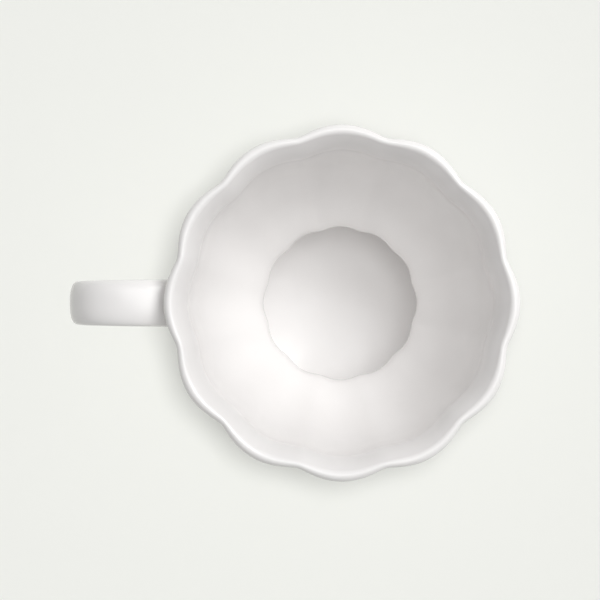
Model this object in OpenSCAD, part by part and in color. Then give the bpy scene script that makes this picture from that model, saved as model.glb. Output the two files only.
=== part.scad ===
// Fluted porcelain cream jug: a waisted, twelve-lobed body on a turned foot ring, with a strap
// handle luted on by a collar of slip at each end. Sizes are in millimetres. The origin is the
// centre of the foot's resting plane, +Z is up and the handle points along -X.

/* [Body] */
// Height of the jug at the lip
jug_h = 83; // [80:1:90]
// Radius of the lip at the crown of a lobe
lip_r = 50; // [47:0.5:53]
// Thickness of the wall at the crown of a lobe
wall = 3.2; // [2.6:0.1:3.6]
// Number of lobes round the jug
lobes = 12; // [8:2:16]
// Height of the waist, a narrow ledge inside between the bowl and the well
waist_z = 27; // [26:0.5:29]
// Radius of the waist at the middle of the wall
waist_r = 24; // [22.5:0.1:26]
// Height of the widest place of the belly
belly_z = 15.5; // [15:0.5:16.5]
// Radius of the belly at the middle of the wall
belly_r = 30.4; // [29:0.2:32]
// Roundness of the bowl above the waist: 1 is a straight cone, more is rounder
bowl_round = 2.8; // [2:0.1:3.2]
// How far the lip turns out beyond the line of the bowl
lip_evert = 3.5; // [2:0.5:4]
// Depth of the everted band below the lip
lip_band = 9; // [7:0.5:10]

/* [Flutes] */
// Depth of the outer flutes at the lip, as a share of the radius
lip_flute = 0.046; // [0.03:0.002:0.06]
// Depth of the outer flutes on the belly, as a share of the radius
belly_flute = 0.05; // [0.03:0.002:0.06]
// Depth of the inner flutes, as a share of the depth of the outer ones
inner_share = 0.6; // [0.4:0.05:0.8]

/* [Foot] */
// Height of the foot ring
foot_h = 4.6; // [4.4:0.1:5.4]
// Outer radius of the foot ring where it stands
foot_r = 26.5; // [26:0.5:28]
// Width of the flat resting face of the foot ring
foot_land = 2.4; // [2:0.2:3]
// Radius of the belly's flat underside
base_r = 24.5; // [24:0.1:25.5]

/* [Handle] */
// Reach of the handle from the axis of the jug
handle_reach = 77; // [74:0.5:80]
// Width of the strap where it leaves the neck
strap_w = 13.4; // [11:0.2:15]
// Width of the strap where it meets the belly
strap_tail_w = 11; // [9:0.2:13]
// Thickness of the strap
strap_t = 5; // [4:0.2:6]
// Height of the strap's upper end
handle_top_z = 74; // [72.5:0.5:74.5]
// Height of the strap's lower end
handle_low_z = 17; // [16:0.5:18.5]
// Spread of the slip collars on the wall, as a multiple of the strap
collar_spread = 1.4; // [1.2:0.05:1.6]

/* [Hidden] */

$fn = 96;
side_steps = 8;              // facets in each lobe
turn = lobes * side_steps;   // facets round the jug
belly_steps = 4;             // rings from the underside to the widest place of the belly
waist_steps = 7;             // rings from there to the waist
bowl_steps = 14;             // rings from the waist to the lip
rim_steps = 5;               // facets across the rounded rim
floor_steps = 5;             // rings from the wall to the middle of the floor
floor_start = 3;             // ring of the wall, counted from the underside, where the floor starts
floor_power = 2.2;           // 1 is a straight cone, more is a flatter floor with a steeper edge
waist_edge_in = 0.8;         // roundness of the ledge inside
waist_edge_out = 4;          // roundness of the waist outside
waist_web = 2;               // extra wall at the waist
sweep_steps = 18;            // rings in each half of the handle
section_steps = 24;          // facets round the strap
section_power = 3;           // squareness of the strap's section: 2 is an ellipse
evert_power = 1.5;           // 1 turns the lip out at a crease, more in a sweep
outer_cusp = 0.12;           // softness of the grooves outside
inner_cusp = 0.45;           // softness of the grooves inside
collar_reach = 15;           // length of a collar before the wall cuts it
collar_steps = 5;            // rings along a collar
ease = 0.5;                  // easing of the foot's edges
cove_steps = 6;              // facets of the foot's cove
glaze = "white";
biscuit = "ivory";

// Middle line of the wall, as [radius, height], from the underside to the rim. The inner and
// the outer skin each have a line of their own, as the waist is crisp inside and soft outside.
rim_c = [lip_r - wall / 2, jug_h - wall / 2];
bowl_end_r = rim_c.x - lip_evert;
floor_mid_z = foot_h + wall / 2;

function eased(d, span, edge) =
    (sqrt(d * d + edge * edge) - edge) / (sqrt(span * span + edge * edge) - edge);
function belly_mid(u) =
    [base_r + (belly_r - base_r) * sin(90 * u), belly_z - (belly_z - floor_mid_z) * cos(90 * u)];
function waist_mid(u, edge, web) =
    let (
        z = belly_z + (waist_z - belly_z) * sin(90 * u),
        narrow = waist_r + web
    )
    [narrow + (belly_r - narrow) * sin(90 * eased(waist_z - z, waist_z - belly_z, edge)), z];
function evert(z) = lip_evert * pow(max(0, 1 - (rim_c.y - z) / lip_band), evert_power);
function bowl_mid(u, edge, web) =
    let (
        z = waist_z + (rim_c.y - waist_z) * (1 - cos(180 * u)) / 2,
        narrow = waist_r + web,
        e = eased(z - waist_z, rim_c.y - waist_z, edge)
    )
    [narrow + (bowl_end_r - narrow) * (1 - pow(1 - e, bowl_round)) + evert(z), z];
function wall_line(edge, web) = concat(
    [for (i = [0:belly_steps - 1]) belly_mid(i / belly_steps)],
    [for (i = [0:waist_steps - 1]) waist_mid(i / waist_steps, edge, web)],
    [for (i = [0:bowl_steps]) bowl_mid(i / bowl_steps, edge, web)]
);
outer_line = wall_line(waist_edge_out, waist_web);
inner_line = wall_line(waist_edge_in, 0);
last = len(outer_line) - 1;

// Outward normal of a line at each point. The underside's own is straight down.
function unit(v) = v / norm(v);
function out_of(run) = [run.y, -run.x];
function line_normal(line, i) =
    i == 0 ? [0, -1] : out_of(unit(line[min(i + 1, last)] - line[i - 1]));
function outer_point(i) = outer_line[i] + wall / 2 * line_normal(outer_line, i);
function inner_point(i) = inner_line[i] - wall / 2 * line_normal(inner_line, i);

// Depth of the outer flutes at a height: none at the foot, full on the belly and above.
function flute_depth(z) =
    z < belly_z
    ? belly_flute * pow((z - foot_h) / (belly_z - foot_h), 1.5)
    : belly_flute + (lip_flute - belly_flute) * (z - belly_z) / (jug_h - belly_z);

// A lobe is 1 at its crown and falls to 0 in the groove between two lobes.
function lobe(angle, cusp) =
    (sqrt(pow(cos(angle * lobes / 2), 2) + cusp * cusp) - cusp) / (sqrt(1 + cusp * cusp) - cusp);
function fluted(p, angle, depth, cusp) =
    let (r = p.x * (1 - depth * (1 - lobe(angle, cusp))))
    [r * cos(angle), r * sin(angle), p.y];

function ring_of(p, share, cusp) =
    [for (k = [0:turn - 1]) fluted(p, 360 * k / turn, share * flute_depth(max(p.y, foot_h)), cusp)];
function outer_ring(i) = ring_of(outer_point(i), 1, outer_cusp);
function inner_ring(i) = ring_of(inner_point(i), inner_share, inner_cusp);
function rim_ring(j) =
    let (
        f = j / rim_steps,
        n = line_normal(outer_line, last),
        way = n * cos(180 * f) + [-n.y, n.x] * sin(180 * f)
    )
    ring_of(
        rim_c + wall / 2 * way,
        1 + (inner_share - 1) * f,
        outer_cusp + (inner_cusp - outer_cusp) * f
    );

// The floor is a shallow bowl from the foot of the wall to the middle.
floor_z = foot_h + wall;
function floor_ring(j) =
    let (
        edge = inner_point(floor_start),
        s = 1 - j / floor_steps
    )
    ring_of([edge.x * s, floor_z + (edge.y - floor_z) * pow(s, floor_power)], inner_share, inner_cusp);

// Triangles between rings of equal length, and fans that close the first and the last ring.
function band(a, b, n) =
    [for (k = [0:n - 1], half = [0, 1])
        let (m = (k + 1) % n)
        half == 0 ? [a + k, b + k, b + m] : [a + k, b + m, a + m]];
function fan(start, centre, n, flip) =
    [for (k = [0:n - 1])
        let (m = (k + 1) % n)
        flip ? [centre, start + m, start + k] : [centre, start + k, start + m]];

module skin(rings, first_centre, last_centre) {
    n = len(rings[0]);
    count = len(rings);
    points = concat([for (ring = rings) each ring], [first_centre, last_centre]);
    sides = [for (i = [0:count - 2]) each band(i * n, (i + 1) * n, n)];
    ends = concat(fan(0, count * n, n, false), fan((count - 1) * n, count * n + 1, n, true));
    polyhedron(points, concat(sides, ends));
}

module body() {
    color(glaze)
        skin(
            concat(
                [for (i = [0:last]) outer_ring(i)],
                [for (j = [1:rim_steps - 1]) rim_ring(j)],
                [for (i = [last:-1:floor_start]) inner_ring(i)],
                [for (j = [1:floor_steps - 1]) floor_ring(j)]
            ),
            [0, 0, foot_h],
            [0, 0, floor_z]
        );
}

// The outer skin of the body as one solid block, which cuts the collars to the wall's shape.
module body_block() {
    skin([for (i = [0:last]) outer_ring(i)], [0, 0, foot_h], [0, 0, jug_h]);
}

// A turned ring: a narrow flat land to stand on, eased at both edges, a cove outside that runs
// up to the belly and a sloped side towards the recess.
module foot_ring() {
    land_in = foot_r - foot_land;
    top_in = land_in - 1.6;
    color(biscuit)
        rotate_extrude()
            polygon(concat(
                [[land_in, 0], [foot_r, 0], [foot_r + ease, ease], [foot_r + ease, 2 * ease]],
                [for (k = [0:cove_steps])
                    let (a = 90 * k / cove_steps)
                    [foot_r - (foot_r - base_r + 0.4) * sin(a), foot_h - (foot_h - 3 * ease) * cos(a)]],
                [[top_in, foot_h], [land_in - ease, ease]]
            ));
}

// Middle line of the handle, as [outward, height], in two Bezier curves that meet upright at
// the handle's furthest reach. The pulls are how far each curve runs straight on from an end.
grip_x = handle_reach - strap_t / 2;
grip_z = handle_low_z + 0.84 * (handle_top_z - handle_low_z);
top_root_e = eased(handle_top_z - waist_z, rim_c.y - waist_z, waist_edge_out);
top_wall_r = bowl_end_r - (bowl_end_r - waist_r) * pow(1 - top_root_e, bowl_round) + wall;
top_root = [top_wall_r + 0.5, handle_top_z];
top_pull = [16, 4];
low_root = [belly_r + wall / 2 + 2, handle_low_z + 0.5];
low_pull = [15, 7];
shoulder_pull = 10;
grip_pull = 18;
upper_curve = [top_root, top_root + top_pull, [grip_x, grip_z + shoulder_pull], [grip_x, grip_z]];
lower_curve = [[grip_x, grip_z], [grip_x, grip_z - grip_pull], low_root + low_pull, low_root];
function bezier(c, t) =
    pow(1 - t, 3) * c[0] + 3 * t * pow(1 - t, 2) * c[1]
    + 3 * t * t * (1 - t) * c[2] + pow(t, 3) * c[3];
function bezier_run(c, t) =
    unit(pow(1 - t, 2) * (c[1] - c[0]) + 2 * t * (1 - t) * (c[2] - c[1]) + t * t * (c[3] - c[2]));

// One section of the strap, square to its run. The strap lies towards -X.
function signed_root(v) = sign(v) * pow(abs(v), 2 / section_power);
function section(p, run, w, t) =
    [for (k = [0:section_steps - 1])
        let (
            a = 360 * k / section_steps,
            side = -w / 2 * signed_root(cos(a)),
            lift = t / 2 * signed_root(sin(a)),
            q = p + lift * [-run.y, run.x]
        )
        [-q.x, side, q.y]];
function strap_width(f) = strap_w + (strap_tail_w - strap_w) * f;
function lifted(p) = [-p.x, 0, p.y];

module handle() {
    upper = [for (i = [0:sweep_steps])
        let (t = i / sweep_steps)
        section(bezier(upper_curve, t), bezier_run(upper_curve, t), strap_width(t / 2), strap_t)];
    lower = [for (i = [1:sweep_steps])
        let (t = i / sweep_steps)
        section(
            bezier(lower_curve, t),
            bezier_run(lower_curve, t),
            strap_width((1 + t) / 2),
            strap_t
        )];
    color(glaze)
        skin(concat(upper, lower), lifted(upper_curve[0]), lifted(lower_curve[3]));
}

// A collar of slip: it starts on the strap's end face and spreads onto the wall.
module collar(start, run, w) {
    rings = [for (i = [0:collar_steps])
        let (f = i / collar_steps, grow = 1 + (collar_spread - 1) * f * f)
        section(start + collar_reach * f * run, run, w * grow, strap_t * grow)];
    color(glaze)
        difference() {
            skin(rings, lifted(start), lifted(start + collar_reach * run));
            body_block();
        }
}

module upper_handle_joint() {
    collar(upper_curve[0], -bezier_run(upper_curve, 0), strap_width(0));
}

module lower_handle_joint() {
    collar(lower_curve[3], bezier_run(lower_curve, 1), strap_width(1));
}

body();
foot_ring();
handle();
upper_handle_joint();
lower_handle_joint();
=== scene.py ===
import bpy
import bmesh
import math
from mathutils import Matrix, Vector, noise


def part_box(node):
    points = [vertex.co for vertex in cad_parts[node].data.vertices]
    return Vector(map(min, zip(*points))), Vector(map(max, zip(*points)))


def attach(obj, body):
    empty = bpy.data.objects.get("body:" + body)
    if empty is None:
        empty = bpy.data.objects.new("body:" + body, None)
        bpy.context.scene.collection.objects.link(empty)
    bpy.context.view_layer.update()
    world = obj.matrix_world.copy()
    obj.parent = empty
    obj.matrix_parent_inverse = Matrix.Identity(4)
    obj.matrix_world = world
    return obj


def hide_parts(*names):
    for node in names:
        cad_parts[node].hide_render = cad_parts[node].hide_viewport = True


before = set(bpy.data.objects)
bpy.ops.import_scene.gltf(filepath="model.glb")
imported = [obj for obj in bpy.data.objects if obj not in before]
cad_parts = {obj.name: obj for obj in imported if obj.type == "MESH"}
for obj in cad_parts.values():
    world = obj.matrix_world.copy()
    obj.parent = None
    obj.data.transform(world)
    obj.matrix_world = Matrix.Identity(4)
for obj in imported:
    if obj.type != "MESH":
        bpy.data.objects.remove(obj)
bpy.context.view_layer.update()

MM = 0.001

# ---------------------------------------------------------------- sizes, the CAD part's unless noted
foot_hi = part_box("foot_ring")[1]
grip_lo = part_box("handle")[0]

LOBES = 12
WALL = 3.2 * MM
LIP_R = 50.0 * MM         # to the crown of a lobe
LIP_Z = 83.0 * MM
FOOT_H = foot_hi.z
FOOT_R = 26.5 * MM
FOOT_LAND = 2.4 * MM
FOOT_SPLAY = 1.6 * MM     # how far the foot's inner wall leans in by its top
FOOT_TUCK = 0.4 * MM      # how far the foot's outer cove runs in under the belly
FOOT_EASE = 0.5 * MM      # roundness of the foot's two lower edges
BASE_R = 24.5 * MM
BELLY_R = 30.4 * MM       # this and the waist's radius are to the middle of the wall
BELLY_Z = 15.5 * MM
WAIST_R = 24.0 * MM
WAIST_Z = 27.0 * MM
WAIST_WEB = 2.0 * MM      # extra wall at the waist
EDGE_IN = 0.8 * MM        # roundness of the ledge inside
EDGE_OUT = 4.0 * MM       # roundness of the waist outside
BOWL_ROUND = 2.8
LIP_EVERT = 3.5 * MM
LIP_BAND = 9.0 * MM
EVERT_POWER = 1.5
FLOOR_POWER = 2.2
LIP_FLUTE = 0.046         # depth of the flutes, as a share of the radius
BELLY_FLUTE = 0.05
FLUTE_FADE = 1.5
INNER_SHARE = 0.6         # depth of the inner flutes, as a share of the outer ones'
OUTER_CUSP = 0.12         # softness of the grooves
INNER_CUSP = 0.3          # crisper than the CAD's 0.45
FLOOR_FROM = 0.75         # share of the belly at which the floor begins

SLICES = 432              # points round the jug
FOOT_SLICES = 192
EASE_STEPS = 4
COVE_STEPS = 12
BELLY_RINGS = 14
WAIST_RINGS = 20
BOWL_RINGS = 46
RIM_RINGS = 12
FLOOR_RINGS = 18

WAVE_OUTSIDE = 0.1 * MM   # unevenness of the hand-finished wall, by place
WAVE_RIM = 0.08 * MM
WAVE_INSIDE = 0.16 * MM
WAVE_FLOOR = 0.12 * MM
BROAD_WAVES = 42.0        # per metre
FINE_WAVES = 130.0
FINE_SHARE = 0.35
FINE_SHIFT = Vector((3.0, 7.0, 1.0))


# ---------------------------------------------------------------- the wall's middle line
RIM_R = LIP_R - WALL / 2
RIM_Z = LIP_Z - WALL / 2
BOWL_END_R = RIM_R - LIP_EVERT


def eased(d, span, edge):
    return (math.hypot(d, edge) - edge) / (math.hypot(span, edge) - edge)


def quarter(f):
    return math.sin(math.pi / 2 * f)


def belly_mid(u):
    r = BASE_R + (BELLY_R - BASE_R) * quarter(u)
    z = BELLY_Z - (BELLY_Z - FOOT_H - WALL / 2) * math.cos(math.pi / 2 * u)
    return Vector((r, z))


def waist_mid(u, edge, web):
    z = BELLY_Z + (WAIST_Z - BELLY_Z) * quarter(u)
    narrow = WAIST_R + web
    e = eased(WAIST_Z - z, WAIST_Z - BELLY_Z, edge)
    return Vector((narrow + (BELLY_R - narrow) * quarter(e), z))


def bowl_mid(u, edge, web):
    z = WAIST_Z + (RIM_Z - WAIST_Z) * (1 - math.cos(math.pi * u)) / 2
    narrow = WAIST_R + web
    e = eased(z - WAIST_Z, RIM_Z - WAIST_Z, edge)
    spread = 1 - max(0.0, 1 - e) ** BOWL_ROUND
    evert = LIP_EVERT * max(0.0, 1 - (RIM_Z - z) / LIP_BAND) ** EVERT_POWER
    return Vector((narrow + (BOWL_END_R - narrow) * spread + evert, z))


def wall_line(edge, web):
    line = [belly_mid(i / BELLY_RINGS) for i in range(BELLY_RINGS)]
    line += [waist_mid(i / WAIST_RINGS, edge, web) for i in range(WAIST_RINGS)]
    line += [bowl_mid(i / BOWL_RINGS, edge, web) for i in range(BOWL_RINGS + 1)]
    return line


def normals(line):
    """Outward normals of a line of [radius, height] points; the underside's is straight down."""
    out = [Vector((0.0, -1.0))]
    for i in range(1, len(line)):
        run = (line[min(i + 1, len(line) - 1)] - line[i - 1]).normalized()
        out.append(Vector((run.y, -run.x)))
    return out


def flute_depth(z):
    if z < BELLY_Z:
        return BELLY_FLUTE * (max(z - FOOT_H, 0.0) / (BELLY_Z - FOOT_H)) ** FLUTE_FADE
    return BELLY_FLUTE + (LIP_FLUTE - BELLY_FLUTE) * (z - BELLY_Z) / (LIP_Z - BELLY_Z)


def lobe(angle, cusp):
    """1 at the crown of a lobe, 0 in the groove between two."""
    c = math.cos(angle * LOBES / 2)
    return (math.hypot(c, cusp) - cusp) / (math.hypot(1.0, cusp) - cusp)


def fluted(r, z, angle, share, cusp):
    return r * (1 - share * flute_depth(z) * (1 - lobe(angle, cusp)))


# ---------------------------------------------------------------- mesh helpers
def new_object(name, bm):
    mesh = bpy.data.meshes.new(name)
    bm.normal_update()
    bm.to_mesh(mesh)
    bm.free()
    for face in mesh.polygons:
        face.use_smooth = True
    piece = bpy.data.objects.new(name, mesh)
    bpy.context.scene.collection.objects.link(piece)
    return piece


def loft(bm, rings, start=None, end=None):
    """Quads between closed rings of points, and a fan to a middle point at either end."""
    rows = [[bm.verts.new(p) for p in ring] for ring in rings]
    count = len(rows[0])
    for low, high in zip(rows, rows[1:]):
        for k in range(count):
            m = (k + 1) % count
            bm.faces.new((low[k], low[m], high[m], high[k]))
    for row, middle, flip in ((rows[0], start, True), (rows[-1], end, False)):
        if middle is None:
            continue
        hub = bm.verts.new(middle)
        for k in range(count):
            m = (k + 1) % count
            corner = (row[m], row[k], hub) if flip else (row[k], row[m], hub)
            bm.faces.new(corner)
    return rows


# ---------------------------------------------------------------- the body
def hand_made(point, normal, amount):
    """The slight unevenness of cast and fettled porcelain."""
    broad = noise.noise(point * BROAD_WAVES)
    fine = noise.noise(point * FINE_WAVES + FINE_SHIFT)
    return point + normal * amount * (broad + FINE_SHARE * fine)


def ring_points(r, z, share, cusp, wave=0.0):
    ring = []
    for k in range(SLICES):
        angle = 2 * math.pi * k / SLICES
        reach = fluted(r, z, angle, share, cusp)
        way = Vector((math.cos(angle), math.sin(angle), 0.0))
        point = way * reach + Vector((0.0, 0.0, z))
        ring.append(hand_made(point, way, wave) if wave else point)
    return ring


def make_body():
    outer = wall_line(EDGE_OUT, WAIST_WEB)
    inner = wall_line(EDGE_IN, 0.0)
    outer_n = normals(outer)
    inner_n = normals(inner)
    last = len(outer) - 1
    rings = []
    for i in range(last + 1):
        p = outer[i] + outer_n[i] * WALL / 2
        rings.append(ring_points(p.x, p.y, 1.0, OUTER_CUSP, wave=WAVE_OUTSIDE if i else 0.0))
    n = outer_n[last]
    across = Vector((-n.y, n.x))
    centre = Vector((RIM_R, RIM_Z))
    for j in range(1, RIM_RINGS):
        f = j / RIM_RINGS
        way = n * math.cos(math.pi * f) + across * math.sin(math.pi * f)
        p = centre + way * WALL / 2
        share = 1 + (INNER_SHARE - 1) * f
        cusp = OUTER_CUSP + (INNER_CUSP - OUTER_CUSP) * f
        rings.append(ring_points(p.x, p.y, share, cusp, wave=WAVE_RIM))
    floor_start = round(BELLY_RINGS * FLOOR_FROM)
    for i in range(last, floor_start - 1, -1):
        p = inner[i] - inner_n[i] * WALL / 2
        rings.append(ring_points(p.x, p.y, INNER_SHARE, INNER_CUSP, wave=WAVE_INSIDE))
    edge = inner[floor_start] - inner_n[floor_start] * WALL / 2
    floor_z = FOOT_H + WALL
    for j in range(1, FLOOR_RINGS):
        s = 1 - j / FLOOR_RINGS
        z = floor_z + (edge.y - floor_z) * s ** FLOOR_POWER
        rings.append(ring_points(edge.x * s, z, INNER_SHARE, INNER_CUSP, wave=WAVE_FLOOR * s))
    bm = bmesh.new()
    loft(bm, rings, Vector((0, 0, FOOT_H)), Vector((0, 0, floor_z)))
    return new_object("jug_body", bm)


# ---------------------------------------------------------------- the foot ring
def quarter_turn(steps):
    """Sine and cosine at even steps of a quarter turn, both ends included."""
    for k in range(steps + 1):
        a = math.pi / 2 * k / steps
        yield math.sin(a), math.cos(a)


def make_foot():
    """The turned foot, with its edges eased and the cove of the CAD ring outside."""
    land_in = FOOT_R - FOOT_LAND
    line = [(land_in - FOOT_SPLAY, FOOT_H)]
    for sine, cosine in quarter_turn(EASE_STEPS):
        line.append((land_in - FOOT_EASE * cosine, FOOT_EASE - FOOT_EASE * sine))
    for sine, cosine in quarter_turn(EASE_STEPS):
        line.append((FOOT_R + FOOT_EASE * sine, FOOT_EASE - FOOT_EASE * cosine))
    line.append((FOOT_R + FOOT_EASE, 2 * FOOT_EASE))
    for sine, cosine in quarter_turn(COVE_STEPS):
        r = FOOT_R - (FOOT_R - BASE_R + FOOT_TUCK) * sine
        line.append((r, FOOT_H - (FOOT_H - 3 * FOOT_EASE) * cosine))
    turns = [2 * math.pi * k / FOOT_SLICES for k in range(FOOT_SLICES)]
    rings = [[Vector((r * math.cos(a), r * math.sin(a), z)) for a in turns] for r, z in line]
    bm = bmesh.new()
    rows = loft(bm, rings)
    for k in range(FOOT_SLICES):
        m = (k + 1) % FOOT_SLICES
        bm.faces.new((rows[-1][k], rows[-1][m], rows[0][m], rows[0][k]))
    return new_object("jug_foot", bm)


# ---------------------------------------------------------------- the handle
STRAP_W = 13.4 * MM
STRAP_TAIL_W = 11.0 * MM
STRAP_T = 5.0 * MM
TOP_Z = 74.0 * MM
LOW_Z = 17.0 * MM
SECTION_POWER = 2.5       # rounder edges than the CAD's 3
SECTION = 48              # points round the strap
SWEEP = 60                # sections along each half of it
GRIP_SHARE = 0.84         # height of its outermost point, as a share from bottom to top
TOP_PULL = Vector((16, 4)) * MM
SHOULDER_PULL = 10 * MM
GRIP_PULL = 18 * MM
LOW_PULL = Vector((15, 7)) * MM

TENON = 1.2 * MM          # how far the strap and its collars run on inside each other
TENON_SIZE = 0.97
COLLAR_SPREAD = 1.35      # a little less than the CAD's 1.4
COLLAR_FLARE = 2.2        # how flat the collar meets the wall
COLLAR_RINGS = 14
SLIP = 0.15 * MM          # how far a collar's edge sinks into the wall
SEAT = 0.8 * MM           # how far its hidden end does
WALL_SEARCH = 30 * MM
HALVINGS = 40

GRIP_X = -grip_lo.x - STRAP_T / 2
GRIP_Z = LOW_Z + GRIP_SHARE * (TOP_Z - LOW_Z)
TOP_E = eased(TOP_Z - WAIST_Z, RIM_Z - WAIST_Z, EDGE_OUT)
TOP_WALL = BOWL_END_R - (BOWL_END_R - WAIST_R) * (1 - TOP_E) ** BOWL_ROUND + WALL
TOP_ROOT = Vector((TOP_WALL + 0.5 * MM, TOP_Z))
LOW_ROOT = Vector((BELLY_R + WALL / 2 + 2 * MM, LOW_Z + 0.5 * MM))
UPPER = [
    TOP_ROOT,
    TOP_ROOT + TOP_PULL,
    Vector((GRIP_X, GRIP_Z + SHOULDER_PULL)),
    Vector((GRIP_X, GRIP_Z)),
]
LOWER = [
    Vector((GRIP_X, GRIP_Z)),
    Vector((GRIP_X, GRIP_Z - GRIP_PULL)),
    LOW_ROOT + LOW_PULL,
    LOW_ROOT,
]


def bezier(c, t):
    s = 1 - t
    return c[0] * s ** 3 + c[1] * (3 * t * s * s) + c[2] * (3 * t * t * s) + c[3] * t ** 3


def bezier_run(c, t):
    s = 1 - t
    run = (c[1] - c[0]) * s * s + (c[2] - c[1]) * (2 * t * s) + (c[3] - c[2]) * t * t
    return run.normalized()


def signed_root(v):
    return math.copysign(abs(v) ** (2 / SECTION_POWER), v)


def section(p, run, w, t):
    """A rounded oblong across the strap at p, where it runs along run."""
    ring = []
    for k in range(SECTION):
        a = 2 * math.pi * k / SECTION
        side = -w / 2 * signed_root(math.cos(a))
        lift = t / 2 * signed_root(math.sin(a))
        q = p + Vector((-run.y, run.x)) * lift
        ring.append(Vector((-q.x, side, q.y)))
    return ring


def strap_width(f):
    """Width at a share f of the way down the strap."""
    return STRAP_W + (STRAP_TAIL_W - STRAP_W) * f


def lifted(p):
    """A point or direction of the handle's own plane, in the part's frame."""
    return Vector((-p.x, 0.0, p.y))


def tenon(p, run, reach, w):
    """A slightly smaller section that carries an end on inside the piece it joins."""
    return section(p + run * reach, run, w * TENON_SIZE, STRAP_T * TENON_SIZE)


def make_handle():
    top_run = bezier_run(UPPER, 0)
    low_run = bezier_run(LOWER, 1)
    rings = [tenon(UPPER[0], top_run, -TENON, strap_width(0))]
    for half, curve in enumerate((UPPER, LOWER)):
        for i in range(half, SWEEP + 1):
            t = i / SWEEP
            w = strap_width((half + t) / 2)
            rings.append(section(bezier(curve, t), bezier_run(curve, t), w, STRAP_T))
    rings.append(tenon(LOWER[3], low_run, TENON, strap_width(1)))
    bm = bmesh.new()
    loft(bm, rings, lifted(UPPER[0] - top_run * TENON), lifted(LOWER[3] + low_run * TENON))
    return new_object("jug_handle", bm)


def wall_radius(z, angle):
    """Radius of the body's outer skin at a height and an angle."""
    for low, high in zip(OUTER_SKIN, OUTER_SKIN[1:]):
        if low.y <= z <= high.y:
            f = (z - low.y) / max(high.y - low.y, 1e-9)
            return fluted(low.x + (high.x - low.x) * f, z, angle, 1.0, OUTER_CUSP)
    return fluted(OUTER_SKIN[-1].x, z, angle, 1.0, OUTER_CUSP)


def on_wall(start, way):
    """First point of the body's outer skin that a line from start along way reaches."""
    low, high = 0.0, WALL_SEARCH
    for _ in range(HALVINGS):
        mid = (low + high) / 2
        p = start + way * mid
        if math.hypot(p.x, p.y) > wall_radius(p.z, math.atan2(p.y, p.x)):
            low = mid
        else:
            high = mid
    return start + way * low


def make_join(name, root, run, w):
    """A collar of slip: a fillet from the strap's end to the wall, closed inside them both."""
    into = lifted(run)
    centre = lifted(root)
    rings = [[] for _ in range(COLLAR_RINGS + 1)]
    seat = []
    for p in section(root, run, w, STRAP_T):
        foot = on_wall(centre + (p - centre) * COLLAR_SPREAD, into)
        outward = Vector((foot.x, foot.y, 0.0)).normalized()
        leave = into * (foot - p).length
        slide = (foot - p) - into * (foot - p).dot(into)
        arrive = slide * COLLAR_FLARE
        for i in range(COLLAR_RINGS + 1):
            f = i / COLLAR_RINGS
            h00 = 2 * f ** 3 - 3 * f ** 2 + 1
            h10 = f ** 3 - 2 * f ** 2 + f
            h01 = -2 * f ** 3 + 3 * f ** 2
            h11 = f ** 3 - f ** 2
            rings[i].append(p * h00 + leave * h10 + foot * h01 + arrive * h11)
        rings[-1][-1] = foot - outward * SLIP
        seat.append(foot - outward * SEAT)
    middle = on_wall(centre, into)
    middle -= Vector((middle.x, middle.y, 0.0)).normalized() * SEAT
    bm = bmesh.new()
    rings = [tenon(root, run, -TENON, w)] + rings + [seat]
    rows = loft(bm, rings, lifted(root - run * TENON), middle)
    for k, vert in enumerate(rows[-2]):
        bm.edges.get((rows[-2][k - 1], vert)).smooth = False
    return new_object(name, bm)


OUTER_LINE = wall_line(EDGE_OUT, WAIST_WEB)
OUTER_SKIN = [p + n * WALL / 2 for p, n in zip(OUTER_LINE, normals(OUTER_LINE))]

body = make_body()
foot = make_foot()
handle = make_handle()
upper_join = make_join("jug_upper_join", UPPER[0], -bezier_run(UPPER, 0), strap_width(0))
lower_join = make_join("jug_lower_join", LOWER[3], bezier_run(LOWER, 1), strap_width(1))


# ---------------------------------------------------------------- materials
def noise_texture(tree, coords, scale, detail):
    texture = tree.nodes.new("ShaderNodeTexNoise")
    texture.inputs["Scale"].default_value = scale
    texture.inputs["Detail"].default_value = detail
    tree.links.new(coords.outputs["Object"], texture.inputs["Vector"])
    return texture


def tinted(tree, shader, texture, low, high):
    """Base colour that drifts between two colours, each given with its place on the ramp."""
    tint = tree.nodes.new("ShaderNodeValToRGB")
    for element, (place, colour) in zip(tint.color_ramp.elements, (low, high)):
        element.position = place
        element.color = (*colour, 1)
    tree.links.new(texture.outputs["Fac"], tint.inputs["Fac"])
    tree.links.new(tint.outputs["Color"], shader.inputs["Base Color"])


def bumped(tree, shader, texture, strength, distance):
    bump = tree.nodes.new("ShaderNodeBump")
    bump.inputs["Strength"].default_value = strength
    bump.inputs["Distance"].default_value = distance
    tree.links.new(texture.outputs["Fac"], bump.inputs["Height"])
    tree.links.new(bump.outputs["Normal"], shader.inputs["Normal"])


def new_material(name, settings):
    mat = bpy.data.materials.new(name)
    mat.use_nodes = True
    shader = mat.node_tree.nodes["Principled BSDF"]
    for socket, value in settings.items():
        shader.inputs[socket].default_value = value
    return mat, mat.node_tree, shader


def glaze_material():
    """A warm white that drifts a little, under a glaze with a faint ripple."""
    mat, tree, shader = new_material("glazed_porcelain", {
        "Roughness": 0.27,
        "IOR": 1.5,
        "Coat Weight": 0.25,
        "Coat Roughness": 0.08,
    })
    coords = tree.nodes.new("ShaderNodeTexCoord")
    cloud = noise_texture(tree, coords, 28.0, 4.0)
    tinted(tree, shader, cloud, (0.35, (0.895, 0.878, 0.868)), (0.65, (0.920, 0.905, 0.896)))
    bumped(tree, shader, noise_texture(tree, coords, 90.0, 3.0), 0.12, 0.6 * MM)
    return mat


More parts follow.
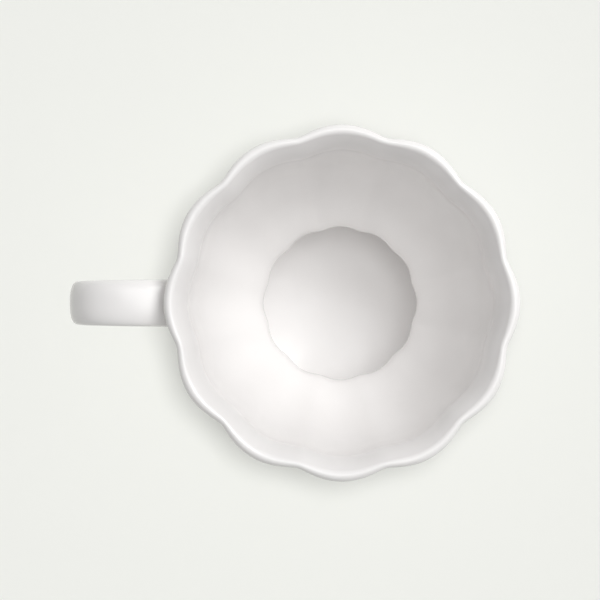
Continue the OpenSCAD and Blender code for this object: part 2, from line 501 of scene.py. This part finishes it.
def biscuit_material():
    """Bare fired clay with a fine grain."""
    mat, tree, shader = new_material("bare_porcelain", {"Roughness": 0.75})
    coords = tree.nodes.new("ShaderNodeTexCoord")
    grain = noise_texture(tree, coords, 900.0, 5.0)
    tinted(tree, shader, grain, (0.0, (0.72, 0.69, 0.64)), (1.0, (0.86, 0.84, 0.8)))
    bumped(tree, shader, grain, 0.3, 0.2 * MM)
    return mat


glaze = glaze_material()
biscuit = biscuit_material()
for piece, node, slot_name, mat in (
    (body, "body", "glazed_porcelain", glaze),
    (foot, "foot_ring", "bare_porcelain", biscuit),
    (handle, "handle", "glazed_porcelain", glaze),
    (upper_join, "upper_handle_joint", "glazed_porcelain", glaze),
    (lower_join, "lower_handle_joint", "glazed_porcelain", glaze),
):
    piece.data.materials.append(mat)
    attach(piece, "root")
    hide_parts(node)


# ---------------------------------------------------------------- floor, light and camera
HALF_FLOOR = 1.6


def make_floor():
    bm = bmesh.new()
    corners = [bm.verts.new((x, y, 0)) for x, y in ((-1, -1), (1, -1), (1, 1), (-1, 1))]
    for v in corners:
        v.co *= HALF_FLOOR
    bm.faces.new(corners)
    table = new_object("studio_table", bm)
    mat = new_material("studio_table", {
        "Base Color": (0.86, 0.868, 0.83, 1),
        "Roughness": 0.9,
        "Specular IOR Level": 0.1,
    })[0]
    table.data.materials.append(mat)
    return table


floor = make_floor()


def only_on(name, things):
    """A collection that a light is linked to, so that it falls on these things alone."""
    group = bpy.data.collections.new(name)
    for thing in things:
        group.objects.link(thing)
    return group


jug_lit = only_on("lit_jug", [body, foot, handle, upper_join, lower_join])
table_lit = only_on("lit_table", [floor])
shading = only_on("shades_table", [body, foot])


def towards(azimuth, elevation):
    a = math.radians(azimuth)
    e = math.radians(elevation)
    return Vector((math.cos(e) * math.cos(a), math.cos(e) * math.sin(a), math.sin(e)))


def new_lamp(name, kind, way, power, lit):
    """A lamp that shines from way, on the things in one collection."""
    light = bpy.data.lights.new(name, kind)
    light.energy = power
    lamp = bpy.data.objects.new(name, light)
    bpy.context.scene.collection.objects.link(lamp)
    lamp.rotation_mode = "QUATERNION"
    lamp.rotation_quaternion = way.to_track_quat("Z", "Y")
    lamp.light_linking.receiver_collection = lit
    return lamp


PANEL = 0.45              # side of each square panel of light
PANEL_DISTANCE = 1.0
JUG_MIDDLE = Vector((0, 0, 0.05))


def panel_light(name, azimuth, elevation, power):
    way = towards(azimuth, elevation)
    lamp = new_lamp(name, "AREA", way, power, jug_lit)
    lamp.data.shape = "RECTANGLE"
    lamp.data.size = PANEL
    lamp.data.size_y = PANEL
    lamp.location = JUG_MIDDLE + way * PANEL_DISTANCE
    lamp.visible_camera = False


# A broad window of light from behind the right shoulder, with weak panels on both sides and above.
panel_light("window", 42, 50, 4.75)
panel_light("right", 15, 64, 1.4)
panel_light("right_high", 340, 72, 0.6)
panel_light("left", 110, 64, 0.5)
panel_light("left_high", 70, 78, 1.3)


def table_light(name, azimuth, elevation, softness, strength, shadows):
    """A light on the table alone, shaded by the body and foot if it casts shadows at all."""
    lamp = new_lamp(name, "SUN", towards(azimuth, elevation), strength, table_lit)
    lamp.data.angle = math.radians(softness)
    lamp.data.use_shadow = shadows
    lamp.light_linking.blocker_collection = shading


table_light("table_even", 0, 90, 1, 0.05, False)
table_light("table_shadow", 38, 88.0, 12.0, 2.17, True)

world = bpy.data.worlds.new("studio")
bpy.context.scene.world = world
world.use_nodes = True
sky = world.node_tree.nodes["Background"]
sky.inputs["Color"].default_value = (1, 1, 1, 1)
sky.inputs["Strength"].default_value = 0.27

CAMERA_HEIGHT = 1.2       # above the lip
CAMERA_X = -0.01173
CAMERA_Y = 0.00084
FRAME_SPAN = 0.1676       # width of the view at the lip
camera_data = bpy.data.cameras.new("camera")
camera_data.sensor_width = 36.0
camera_data.lens = camera_data.sensor_width * CAMERA_HEIGHT / FRAME_SPAN
camera = bpy.data.objects.new("camera", camera_data)
bpy.context.scene.collection.objects.link(camera)
camera.location = (CAMERA_X, CAMERA_Y, LIP_Z + CAMERA_HEIGHT)
camera.rotation_euler = (0, 0, 0)
camera_data.clip_start = 0.01
bpy.context.scene.camera = camera

bpy.context.scene.view_settings.view_transform = "Standard"
bpy.context.scene.view_settings.look = "None"
